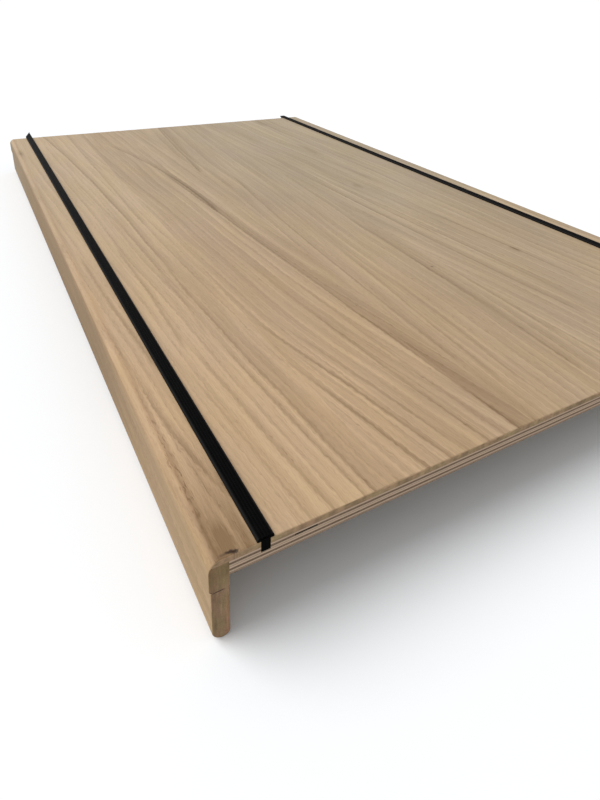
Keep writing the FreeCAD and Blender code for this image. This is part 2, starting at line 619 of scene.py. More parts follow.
def oak_figure() -> Tree:
    """Growth rings, pores and fibres of a sawn board.

    The rings are cylinders about a heart line that runs along the board, drifts across it and
    wanders a little. A ring's early wood is sharp on one side and fades out on the other, and
    its width and strength differ from ring to ring.

    Returns:
        Group that gives masks from 0 to 1, and Shaken, the place across with the grain's shake.
    """
    inputs = ["Along", "Across", "Below", "Slope", "Bend", "Heart", "Depth", "Pitch", "Seed"]
    masks = ["Early", "Late", "Fine", "Pores", "Fibre", "Streak", "Cloud", "Band", "Fleck", "Hue"]
    sheet = GroupSheet("Oak figure", inputs, masks + ["Shaken"])
    along, across, below, slope, bend, heart, depth, pitch, seed = sheet.given.values()
    seed_step = 37.0
    board_shift = 100.0
    seed = seed * seed_step
    shifted = seed.scaled(board_shift, along)

    def cloud(long: float, wide: float, detail: float) -> Wire:
        """Noise of this length and width that lies square to the board."""
        return sheet.noise(shifted * (1 / long), across * (1 / wide), below * (1 / wide), detail)

    slow_shake = cloud(long=90.0, wide=20.0, detail=2.0).swing(3.4)
    quick_shake = cloud(long=6.0, wide=2.6, detail=1.0).swing(3.0)
    shaken = across - (slow_shake + quick_shake)
    bend_length = 200.0
    near_bend = sheet.math("EXPONENT", along * (-1 / bend_length)).scaled(-bend_length, bend_length)
    wander = cloud(long=420.0, wide=130.0, detail=1.0).swing(30.0)
    offset = shaken - (heart + slope * along + bend * near_bend + wander)
    deep = depth + below
    radius = sheet.length(deep, offset)
    uneven_per_mm = 0.045
    rings_out_of_place = 2.4
    uneven = sheet.noise(radius.scaled(uneven_per_mm, seed), 0.0, detail=1.0)
    ring = uneven.scaled(rings_out_of_place, radius / pitch)

    number = sheet.math("FLOOR", ring) + seed
    part = sheet.math("FRACT", ring)
    weakest = 0.25
    strength = sheet.chance(number)
    strength = (strength * strength).scaled(1.0 - weakest, weakest)
    second_draw = 0.37
    narrowest = 0.25
    broadest = 0.75
    breadth = sheet.chance(number + second_draw).scaled(broadest - narrowest, narrowest)
    sharp_edge = 0.08
    early = part.smooth(breadth, 0.0) * part.smooth(0.0, sharp_edge)
    fade_length = 170.0
    fade_step = 3.1
    fade_contrast = 1.5
    fade_least = 0.1
    faded = sheet.noise(shifted * (1 / fade_length), number * fade_step, detail=1.0)
    faded = faded.scaled(fade_contrast, fade_least, clamp=True)
    late_start = 0.6
    sheet.give(
        Shaken=shaken,
        Early=early * strength * faded,
        Late=part.smooth(late_start, 1.0) * faded,
    )

    fine_rings_in_a_ring = 3.7
    fine_breadth = 0.8
    fine_edge = 0.12
    fine_part = sheet.math("FRACT", ring * fine_rings_in_a_ring)
    fine = fine_part.smooth(fine_breadth, 0.0) * fine_part.smooth(0.0, fine_edge)
    thin_length = 70.0
    thin_width = 5.0
    thin_range = (0.35, 0.7)
    thin = sheet.noise(shifted * (1 / thin_length), offset * (1 / thin_width), detail=1.0)
    sheet.give(Fine=fine * thin.smooth(*thin_range))
    streak_roughness = 0.65

    def streak(long: float, wide: float, detail: float, away: float) -> Wire:
        """Noise of this length and width that follows the rings along the board."""
        x = shifted.scaled(1 / long, away)
        return sheet.noise(x, offset * (1 / wide), deep * (1 / wide), detail, streak_roughness)

    pore_range = (0.52, 0.72)
    fleck_range = (0.6, 0.78)
    pores_in_late_wood = 0.4
    dash = streak(long=8.0, wide=0.9, detail=1.0, away=0.0).smooth(*pore_range)
    return sheet.give(
        Pores=dash * early.scaled(1.0 - pores_in_late_wood, pores_in_late_wood),
        Fibre=streak(long=45.0, wide=1.4, detail=3.0, away=5.0),
        Streak=streak(long=150.0, wide=4.0, detail=2.0, away=17.0),
        Fleck=streak(long=9.0, wide=1.0, detail=1.0, away=9.0).smooth(*fleck_range),
        Band=streak(long=600.0, wide=22.0, detail=1.0, away=13.0),
        Cloud=cloud(long=260.0, wide=60.0, detail=2.0),
        Hue=cloud(long=110.0, wide=45.0, detail=2.0),
    )


def grain_line() -> Tree:
    """One long dark grain line on the top face, added to the shade of the lines before it.

    The line's place across is the parabola Start + Slope * along + Curve * along * along. A thin
    dark core with a pale rim on one side lies on it, and on the other side a band fades out over
    a width that grows or shrinks along the line.

    Returns:
        Group that gives the shade with this line added.
    """
    curve_inputs = ["Start", "Slope", "Curve", "From", "To"]
    inputs = ["Shade", "Along", "Across"] + curve_inputs + ["Depth", "Band", "Width", "Widening"]
    sheet = GroupSheet("Grain line", inputs, ["Shade"])
    (shade, along, across, start, slope, curve,
     first, last, depth, band, width, widening) = sheet.given.values()
    off = across - curve.scaled(along, slope).scaled(along, start)
    core_shades = ((-4.6, 0.0), (-2.7, -0.28), (-1.5, 0.1), (0.0, 1.0), (1.2, 0.6), (2.6, 0.0))
    core = sheet.curve(off, core_shades)
    band_start = (-1.0, 0.8)
    band_end = (1.5, 0.45)
    behind = (off / widening.scaled(along, width)).smooth(*band_end) * off.smooth(*band_start) * band
    fade_in = 25.0
    fade_out = 90.0
    reach = (along - first).smooth(0.0, fade_in) * (last - along).smooth(0.0, fade_out)
    return sheet.give(Shade=((core + behind) * reach).scaled(depth, shade))


def oak_relief() -> Tree:
    """Fine dashes of open pores, sunk along the grain.

    Returns:
        Group that gives a height from 0, in a pore, to 1.
    """
    sheet = GroupSheet("Oak relief", ["Along", "Across", "Below"], ["Height"])
    along, across, below = sheet.given.values()
    dash_length = 9.0
    dash_width = 0.9
    sunk_range = (0.75, 0.45)
    dash = sheet.noise(along * (1 / dash_length), across * (1 / dash_width), below, detail=1.0)
    return sheet.give(Height=dash.smooth(*sunk_range))


def end_grain() -> Tree:
    """Speckle of cut pores, upright streaks and clouds on a sawn end.

    Returns:
        Group that gives a tone about 0.5 and a hue from 0 to 1.
    """
    sheet = GroupSheet("End grain", ["Across", "Below", "Stretch"], ["Tone", "Hue"])
    across, below, stretch = sheet.given.values()
    across = across / stretch
    roughness = 0.6
    middle_tone = 0.5
    hue_range = (0.35, 0.65)

    def patches(wide: float, high: float, away: float, detail: float) -> Wire:
        """Noise with features of this width and height."""
        return sheet.noise(across * (1 / wide), below * (1 / high), away, detail, roughness)

    speckle = patches(wide=0.9, high=1.3, away=0.0, detail=2.0).swing(0.9)
    streaks = patches(wide=1.6, high=15.0, away=5.3, detail=2.0).swing(1.4)
    clouds = patches(wide=7.0, high=9.0, away=6.0, detail=1.0).swing(0.8)
    hue = patches(wide=6.0, high=11.0, away=9.0, detail=1.0).smooth(*hue_range)
    return sheet.give(Tone=speckle + streaks + clouds + middle_tone, Hue=hue)


def soft_spot() -> Tree:
    """Ragged round spot, drawn out along the grain.

    Returns:
        Group that gives a mask from 0 to 1.
    """
    inputs = ["Along", "Across", "Middle along", "Middle across", "Long", "Wide"]
    sheet = GroupSheet("Soft spot", inputs, ["Mask"])
    along, across, middle_along, middle_across, long, wide = sheet.given.values()
    along = (along - middle_along) / long
    across = (across - middle_across) / wide
    tears_along = 1.2
    tears_across = 2.4
    tear_size = 1.1
    rim_range = (1.1, 0.1)
    torn = sheet.noise(along * tears_along, across * tears_across, middle_along).swing(tear_size)
    return sheet.give(Mask=(sheet.length(along, across) + torn).smooth(*rim_range))


@dataclass(frozen=True)
class WoodGroups:
    """Node groups that the finishes share. All of their lengths are millimetres."""

    place: Tree
    figure: Tree
    relief: Tree
    line: Tree
    spot: Tree
    ends: Tree

    @classmethod
    def build(cls, sizes: TreadSizes) -> "WoodGroups":
        """Build the groups for a tread of these sizes."""
        return cls(tread_place(sizes), oak_figure(), oak_relief(), grain_line(), soft_spot(), end_grain())


class MaterialSheet(NodeSheet):
    """Sheet of the material for one slot.

    Attributes:
        groups: Shared node groups.
        place: Outputs of the place group.
        point: Those of them that give the point on the tread.
    """

    def __init__(self, slot: Slot, groups: WoodGroups) -> None:
        """Start the material.

        Args:
            slot: Slot that gives it its name.
            groups: Shared node groups.
        """
        self.material = bpy.data.materials.new(slot.value)
        self.material.use_nodes = True
        super().__init__(self.material.node_tree)
        self.groups = groups
        self.place = self.group(groups.place)
        self.point = {name: self.place[name] for name in ("Along", "Across", "Below")}

    def finished(
        self, colour: Wire, roughness: Value, gloss: float, height: Wire, bump: Range
    ) -> bpy.types.Material:
        """Feed the shader.

        Args:
            colour: Base colour.
            roughness: Roughness of the surface.
            gloss: Level of its reflections.
            height: Relief from 0 to 1.
            bump: Strength of the relief and its depth in metres.

        Returns:
            The material.
        """
        strength, distance = bump
        relief = self.named(self.node("Bump"), Strength=strength, Distance=distance, Height=height)
        self.named(
            self.tree.nodes["Principled BSDF"],
            Base_Color=colour,
            Roughness=roughness,
            Specular_IOR_Level=gloss,
            Normal=relief["Normal"],
        )
        return self.material


@dataclass(frozen=True)
class OakBoard:
    """One board of the face sheet.

    Attributes:
        slope: How far the grain drifts across the tread for each millimetre along it.
        bend: Slope that is added at the near end and dies out along the board.
        heart: Distance of the heart line from the front outer face at the near end, in millimetres.
        tone: Lightness of the board from 0, dark, to 1, light.
    """

    slope: float
    bend: float
    heart: float
    tone: float


@dataclass(frozen=True)
class GrainLine:
    """Long dark line in the face, in millimetres from the near end and the front outer face.

    Attributes:
        along: Where the line starts and ends along the tread.
        across: Its places across, at its start, halfway and at its end.
        depth: How dark its core is, from 0 to 1.
        band: How dark the band behind it is, as a share of the core.
        widths: Width of that band at the start and at the end.
    """

    along: Range
    across: Triple
    depth: float
    band: float = 0.4
    widths: Range = (4.0, 4.0)

    def drawn(self, sheet: MaterialSheet, shade: Value, shaken: Wire) -> Wire:
        """Draw the line as a parabola through its three places.

        Args:
            sheet: Sheet of the material.
            shade: Shade of the lines before it.
            shaken: Distance from the front outer face, with the grain's shake.

        Returns:
            The shade with this line added, less than 0 on pale rims.
        """
        first, last = self.along
        curve, slope, start = np.polyfit((first, (first + last) / 2, last), self.across, 2).tolist()
        widening = (self.widths[1] - self.widths[0]) / (last - first)
        return sheet.group(
            sheet.groups.line,
            Shade=shade,
            Along=sheet.place["Along"],
            Across=shaken,
            Start=start,
            Slope=slope,
            Curve=curve,
            From=first,
            To=last,
            Depth=self.depth,
            Band=self.band,
            Width=self.widths[0] - widening * first,
            Widening=widening,
        )["Shade"]


@dataclass(frozen=True)
class SoftSpot:
    """Knot or smear in the face, in millimetres from the near end and the front outer face."""

    along: float
    across: float
    long: float
    wide: float
    depth: float

    def mask(self, sheet: MaterialSheet) -> Wire:
        """Lay the spot on the face.

        Args:
            sheet: Sheet of the material.

        Returns:
            Its mask from 0 to 1.
        """
        return sheet.group(
            sheet.groups.spot,
            Along=sheet.place["Along"],
            Across=sheet.place["Across"],
            Middle_along=self.along,
            Middle_across=self.across,
            Long=self.long,
            Wide=self.wide,
        )["Mask"]


@dataclass(frozen=True)
class OakFinish:
    """Matt oiled oak, with colours as linear reflectances and lengths in millimetres.

    A field whose name ends in range holds the two values between which a tint comes in.

    Attributes:
        pitch: Distance from growth ring to growth ring.
        depth: Height of the boards' heart lines above the top.
        seed: Start of the figure's noise.
        swings: How far each kind of figure takes the wood both lighter and darker.
        lifts: How far each kind of figure makes it lighter.
        shades: How far each kind of figure makes it darker.
        patchiness: How far clouds break up the drawn lines, and what is left of them at the least.
    """

    slot: Slot
    boards: tuple[OakBoard, ...]
    lines: tuple[GrainLine, ...] = ()
    smears: tuple[SoftSpot, ...] = ()
    knots_and_chip_shadow: tuple[SoftSpot, ...] = ()
    open_pores: tuple[SoftSpot, ...] = ()
    pitch: float = 10.0
    depth: float = 45.0
    seed: float = 1.0

    swings: Weights = (("Fibre", 1.2), ("Streak", 1.1), ("Cloud", 1.0), ("Band", 0.9))
    lifts: Weights = (("Fleck", 0.25), ("Late", 0.3))
    base_lift: float = -0.08
    shades: Weights = (("Early", 0.32), ("Fine", 0.13))
    pore_shade: float = 0.28
    patchiness: Range = (0.95, 0.15)
    contrast: float = 1.0

    light: Colour = (0.544, 0.381, 0.227)
    mid: Colour = (0.395, 0.271, 0.159)
    dark: Colour = (0.21, 0.128, 0.062)
    pale: Colour = (0.64, 0.475, 0.3)
    # Colour of knots, also used as painted shadow inside the chip.
    knot_and_chip_shadow: Colour = (0.07, 0.04, 0.022)
    golden: Colour = (1.01, 1.0, 0.965)
    grey: Colour = (1.0, 0.995, 1.035)
    hue_range: Range = (0.3, 0.7)

    # Painted shade: the face darker and greyer towards the back.
    back_painted_shade: Colour = (0.855, 0.915, 0.965)
    back_shade_range: Range = (122.0, 457.5)
    # Painted light towards the far end: a cool painted sheen on the face, painted shade on the nosing.
    far_painted_light: Colour = (0.92, 0.98, 1.045)
    far_light_range: Range = (50.0, 700.0)
    # On the face this lightens the lips; on the nosing it is a painted pale, cool sheen towards the far
    # end.
    lip_tint_and_far_sheen: Colour = (1.07, 1.06, 1.04)
    lip_and_sheen_range: Range = (700.0, 300.0)
    lip_inset: Range = (36.0, 30.0)
    # Painted shade on the rounded top edge, thinner about 3 mm in, where it leaves a painted highlight
    # line.
    edge_shade_and_highlight: Colour = (0.845, 0.8, 0.755)
    edge_shade_curve: Points = ((0.0, 0.84), (2.2, 0.4), (3.2, 0.4), (6.0, 1.0), (8.0, 0.42), (12.0, 0.0))

    end_light: Colour = (0.62, 0.425, 0.243)
    end_dark: Colour = (0.23, 0.155, 0.087)
    end_olive: Colour = (0.98, 1.02, 0.95)
    end_red: Colour = (1.05, 0.98, 1.02)
    end_stretch: float = 4.0

    roughness: float = 0.6
    fibre_roughness: float = 0.14
    pore_roughness: float = 0.15
    gloss: float = 0.3
    bump: Range = (0.5, 0.15 * MM)

    def material(self, groups: WoodGroups, tread_depth: float) -> bpy.types.Material:
        """Build the material.

        Args:
            groups: Shared node groups.
            tread_depth: Size across all boards in millimetres.

        Returns:
            The material.
        """
        sheet = MaterialSheet(self.slot, groups)
        figure = self.figure(sheet, sheet.place["Across"] / tread_depth)
        colour = self.grain(sheet, figure)
        colour = self.toned(sheet, colour, figure["Hue"])
        colour = sheet.mix(sheet.place["End"], colour, self.sawn_end(sheet))
        # Knots, and painted shadow inside the chip at the near end.
        for knot_and_chip_shadow in self.knots_and_chip_shadow:
            colour = sheet.mix(knot_and_chip_shadow.mask(sheet) * knot_and_chip_shadow.depth, colour, self.knot_and_chip_shadow)
        rough = figure["Fibre"].scaled(self.fibre_roughness, self.roughness - self.fibre_roughness / 2)
        rough = figure["Pores"].scaled(self.pore_roughness, rough)
        relief = sheet.group(groups.relief, **sheet.point)["Height"]
        return sheet.finished(colour, rough, self.gloss, relief, self.bump)

    def figure(self, sheet: MaterialSheet, share: Wire) -> dict[str, Wire]:
        """Lay the figure of the wood, with each board sawn in its own way.

        Args:
            sheet: Sheet of the material.
            share: Place across all boards, from 0 to 1.

        Returns:
            Outputs of the figure group, and Tone, the lightness of each board.
        """
        number = sheet.math("FLOOR", share * float(len(self.boards)))

        def each(name: str) -> Wire:
            """Number that differs from board to board."""
            return sheet.choice(share, [getattr(board, name) for board in self.boards])

        figure = sheet.group(
            sheet.groups.figure,
            **sheet.point,
            Slope=each("slope"),
            Bend=each("bend"),
            Heart=each("heart"),
            Depth=self.depth,
            Pitch=self.pitch,
            Seed=number + self.seed,
        )
        return {**figure, "Tone": each("tone")}

    def grain(self, sheet: MaterialSheet, figure: dict[str, Wire]) -> Wire:
        """Colour of the wood with its grain, lines and smears.

        Args:
            sheet: Sheet of the material.
            figure: Masks of the figure.

        Returns:
            The colour.
        """
        lightness = sum((figure[name].swing(amount) for name, amount in self.swings), figure["Tone"])
        lightness = sum((figure[name] * amount for name, amount in self.lifts), lightness)
        colour = sheet.mix(lightness.clamped(self.base_lift), self.mid, self.light)
        drawn: Value = 0.0
        for line in self.lines:
            drawn = line.drawn(sheet, drawn, figure["Shaken"])
        patchy = figure["Cloud"].scaled(*self.patchiness, clamp=True)
        openness: Value = self.pore_shade
        for patch in self.open_pores:
            openness = patch.mask(sheet).scaled(patch.depth, openness)
        shade = sum((figure[name] * amount for name, amount in self.shades), patchy * drawn)
        shade = (shade + figure["Pores"] * openness) * self.contrast
        for smear in self.smears:
            shade = smear.mask(sheet).scaled(smear.depth, shade)
        colour = sheet.mix(shade.scaled(-1.0, 0.0, clamp=True), colour, self.pale)
        return sheet.mix(shade.clamped(), colour, self.dark)

    def toned(self, sheet: MaterialSheet, colour: Wire, hue: Wire) -> Wire:
        """Tint the wood in clouds, with painted shade towards the back, painted light towards the far
        end, a lip tint, and painted shade with a painted highlight line on the edge.

        Args:
            sheet: Sheet of the material.
            colour: Colour of the wood.
            hue: Noise of the clouds.

        Returns:
            The tinted colour.
        """
        along = sheet.place["Along"]
        inset = sheet.place["Inset"]
        clouds = sheet.mix(hue.smooth(*self.hue_range), self.golden, self.grey)
        colour = sheet.tinted(colour, 1.0, clouds)
        colour = sheet.tinted(colour, sheet.place["Across"].smooth(*self.back_shade_range), self.back_painted_shade)
        colour = sheet.tinted(colour, along.smooth(*self.far_light_range), self.far_painted_light)
        lip_and_sheen_mask = along.smooth(*self.lip_and_sheen_range) * inset.smooth(*self.lip_inset)
        colour = sheet.tinted(colour, lip_and_sheen_mask, self.lip_tint_and_far_sheen)
        return sheet.tinted(colour, sheet.curve(inset, self.edge_shade_curve), self.edge_shade_and_highlight)

    def sawn_end(self, sheet: MaterialSheet) -> Wire:
        """Colour of the sawn ends.

        Args:
            sheet: Sheet of the material.

        Returns:
            The colour.
        """
        across = sheet.place["Across"]
        below = sheet.place["Below"]
        grain = sheet.group(sheet.groups.ends, Across=across, Below=below, Stretch=self.end_stretch)
        colour = sheet.mix(grain["Tone"].clamped(), self.end_dark, self.end_light)
        return sheet.tinted(colour, 1.0, sheet.mix(grain["Hue"], self.end_olive, self.end_red))


@dataclass(frozen=True)
class NosingFinish(OakFinish):
    """Oak of the nosing, whose sawn ends show an open stretch of the seam under the rail.

    Attributes:
        seam: Depth of the seam below the top. It wanders in waves and rises at the outer face.
        seam_gap: Distances from the seam at which the gap starts and is full.
        seam_reach: Insets at which the gap ends and is full.
    """

    crack: Colour = (0.1, 0.06, 0.032)
    seam: float = 23.0
    seam_wander: float = 0.8
    seam_waves: float = 0.6
    seam_rise: float = 1.8
    rise_range: Range = (2.5, -0.5)
    seam_gap: Range = (0.7, 0.15)
    seam_reach: Range = (10.0, 7.5)
    # Painted shade on the sawn ends: darker outward and towards the top.
    outer_painted_shade: Colour = (0.86, 0.84, 0.8)
    outer_range: Range = (9.0, 1.0)
    upper_painted_shade: Colour = (0.8, 0.8, 0.68)
    upper_range: Range = (30.0, 5.0)
    inner_red: Colour = (1.12, 1.0, 0.98)
    red_inset: Range = (8.0, 11.0)
    red_below: Range = (24.0, 32.0)

    def sawn_end(self, sheet: MaterialSheet) -> Wire:
        """Colour of the sawn ends, darker outward and upward by painted shade, with the open seam.

        Args:
            sheet: Sheet of the material.

        Returns:
            The colour.
        """
        colour = super().sawn_end(sheet)
        inset = sheet.place["Inset"]
        below = sheet.place["Below"]
        seam = inset.smooth(*self.rise_range).scaled(-self.seam_rise, self.seam)
        seam = seam + sheet.noise(inset * self.seam_waves, 0.0).swing(self.seam_wander)
        gap = abs(below - seam).smooth(*self.seam_gap) * inset.smooth(*self.seam_reach)
        colour = sheet.tinted(colour, inset.smooth(*self.outer_range), self.outer_painted_shade)
        colour = sheet.tinted(colour, below.smooth(*self.upper_range), self.upper_painted_shade)
        inward = inset.smooth(*self.red_inset) * below.smooth(*self.red_below)
        colour = sheet.tinted(colour, inward, self.inner_red)
        return sheet.mix(gap, colour, self.crack)


@dataclass(frozen=True)
class PlyFinish:
    """Birch plywood, with the plies on its ends, a sanded veneer underneath and painted shade in the core
    gap.

    Attributes:
        ply_tones: Lightness of the plies from the top down.
        wave: How far the plies wave up and down in millimetres.
        wave_scale: Waves in a millimetre. The other scales count the same way.
        rim_range: Plies from a glue joint at which the pale rim starts and is full.
        rim_above: Shares of the panel's thickness, from the top, where the rims end.
        glue_range: Plies from a glue joint at which the glue starts and is full.
        crosswise_range: Tones between which end grain turns into long grain.
        painted_shade_in: Millimetres in from a sawn end where the painted shade of the core gap starts
            and is full.
        painted_shade_above: Shares of the panel's thickness, from the top, where that painted shade ends.
    """

    ply_tones: tuple[float, ...] = (0.9, 0.1, 0.86, 0.94, 0.1, 0.86, 0.42)
    light: Colour = (0.76, 0.565, 0.41)
    dark: Colour = (0.17, 0.112, 0.066)
    glue: Colour = (0.12, 0.08, 0.052)
    veneer: Colour = (0.57, 0.465, 0.345)
    veneer_dark: Colour = (0.46, 0.36, 0.25)
    # Painted shade for the core gap.
    hollow_painted_shade: Colour = (0.03, 0.02, 0.013)
    wave: float = 0.5
    wave_scale: Range = (0.03, 0.2)
    long_grain_scale: Range = (0.05, 5.0)
    end_grain_scale: Range = (1.3, 0.9)
    veneer_scale: Range = (0.006, 0.12)
    grain_detail: float = 4.0
    rim_tone: float = 0.8
    rim_range: Range = (0.2, 0.05)
    rim_above: Range = (0.93, 0.87)
    glued: float = 0.6
    glue_range: Range = (0.17, 0.03)
    crosswise_range: Range = (0.3, 0.6)
    veneer_range: Range = (0.3, 0.7)
    painted_shade_in: Range = (0.2, 0.6)
    painted_shade_above: Range = (0.99, 0.97)
    grain_swing: float = 0.9
    grain_relief: float = 0.6
    joint_relief: Range = (0.0, 0.2)
    roughness: float = 0.75
    gloss: float = 0.2
    bump: Range = (0.6, 0.25 * MM)

    def material(self, groups: WoodGroups, sizes: TreadSizes) -> bpy.types.Material:
        """Build the material.

        Args:
            groups: Shared node groups.
            sizes: Places on the tread.

        Returns:
            The material.
        """
        sheet = MaterialSheet(Slot.PLYWOOD, groups)
        along, across, below, rest, _, end = sheet.place.values()

        def grain(x: Wire, y: Wire, scale: Range, roughness: float) -> Wire:
            """Noise with this many features in a millimetre."""
            return sheet.noise(x * scale[0], y * scale[1], 0.0, self.grain_detail, roughness)

        wave = sheet.noise(across * self.wave_scale[0], below * self.wave_scale[1])
        down = below - (sizes.top_z - sizes.face_under_z) / MM + wave.swing(self.wave)
        share = down / ((sizes.face_under_z - sizes.panel_under_z) / MM)
        # Edge counts in plies, from 0 at a glue joint to 0.5 in the middle of a ply
        edge = sheet.math("PINGPONG", share * float(len(self.ply_tones)), 0.5)
        rim = edge.smooth(*self.rim_range) * share.smooth(*self.rim_above) * self.rim_tone
        tone = sheet.math("MAXIMUM", sheet.choice(share, self.ply_tones), rim)
        long_grain = grain(across, below, self.long_grain_scale, roughness=0.7)
        end_grain = grain(across, below, self.end_grain_scale, roughness=0.75)
        crosswise = tone.smooth(*self.crosswise_range)
        figure = (1.0 - crosswise) * end_grain + crosswise * long_grain
        plies = sheet.mix(tone.clamped(figure.swing(self.grain_swing)), self.dark, self.light)
        plies = sheet.mix(edge.smooth(*self.glue_range) * self.glued, plies, self.glue)
        streak = grain(along, across, self.veneer_scale, roughness=0.6)
        under = sheet.mix(streak.smooth(*self.veneer_range), self.veneer, self.veneer_dark)
        colour = sheet.mix(end, under, plies)
        shade_deep_in = sheet.math("MINIMUM", along, rest).smooth(*self.painted_shade_in)
        # Painted shade: near black on the inner faces away from the sawn ends, in the core gap and under
        # the other pieces.
        colour = sheet.mix(shade_deep_in * share.smooth(*self.painted_shade_above), colour, self.hollow_painted_shade)
        relief = figure.scaled(self.grain_relief, edge.smooth(*self.joint_relief)) * end
        return sheet.finished(colour, self.roughness, self.gloss, relief, self.bump)


@dataclass(frozen=True)
class RubberFinish:
    """Matt black extruded rubber with a little dust, greyer on its shoulders by rubbing and a painted
    sheen.

    Attributes:
        rubbed_and_sheen_range: Millimetres in from a shoulder's edge where the grey starts and is full.
        dust_scale: Specks in a millimetre, along and across. The drawn marks count the same way.
    """

    colour: Colour = (0.0007, 0.0007, 0.0008)
    dusty: Colour = (0.003, 0.0028, 0.0027)
    rubbed_and_sheen: Colour = (0.012, 0.0115, 0.011)
    rubbed_and_sheen_range: Range = (1.5, 0.4)
    dust_scale: Range = (0.05, 0.5)
    dust_detail: float = 4.0
    dust_roughness: float = 0.7
    dust_range: Range = (0.5, 0.75)
    drawn_scale: Range = (0.01, 3.0)
    drawn_roughness: float = 0.2
    roughness: float = 0.55
    gloss: float = 0.03
    bump: Range = (0.3, 0.05 * MM)

    def material(self, groups: WoodGroups, sizes: TreadSizes) -> bpy.types.Material:
        """Build the material.

        Args:
            groups: Shared node groups.
            sizes: Places on the tread.

        Returns:
            The material.
        """
        sheet = MaterialSheet(Slot.RUBBER, groups)
        along, across, below, _, inset, end = sheet.place.values()
        dust = sheet.noise(
            along * self.dust_scale[0],
            across * self.dust_scale[1],
            detail=self.dust_detail,
            roughness=self.dust_roughness,
        )
        drawn = sheet.noise(along * self.drawn_scale[0], across * self.drawn_scale[1], below)
        colour = sheet.mix(dust.smooth(*self.dust_range), self.colour, self.dusty)
        middle = (sizes.flange_outer + sizes.flange_inner) / 2 / MM
        half = (sizes.flange_inner - sizes.flange_outer) / 2 / MM
        start, full = self.rubbed_and_sheen_range
        rubbing_and_sheen = abs(inset - middle).smooth(half - start, half - full) * (1.0 - end)
        # Grey on the shoulders: rubbing together with a painted sheen.
        colour = sheet.mix(rubbing_and_sheen, colour, self.rubbed_and_sheen)
        rough = drawn.scaled(self.drawn_roughness, self.roughness - self.drawn_roughness / 2)
        return sheet.finished(colour, rough, self.gloss, drawn, self.bump)


@dataclass
class Assembly:
    """Pieces of one finish, kept by the names of the CAD nodes that they stand for."""

    slot: ClassVar[Slot]
    sharp_degrees: ClassVar[float] = 40.0

    sizes: TreadSizes
    pieces: dict[str, bpy.types.Object] = field(default_factory=dict, init=False)

    def add(self, node: str, name: str, grid: np.ndarray) -> None:
        """Make one piece from rings of points, to stand for a CAD node."""
        self.pieces[node] = closed_mesh(name, grid, self.sharp_degrees)

    def dress(self, material: bpy.types.Material) -> None:
        """Finish the pieces and let them stand for their CAD nodes.

        Args:
            material: Finish of the pieces.
        """
        for node, piece in self.pieces.items():
            piece.data.materials.append(material)
            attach(piece, BODY)
            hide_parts(node)
            LOG.info("%s stands for %s", piece.name, node)


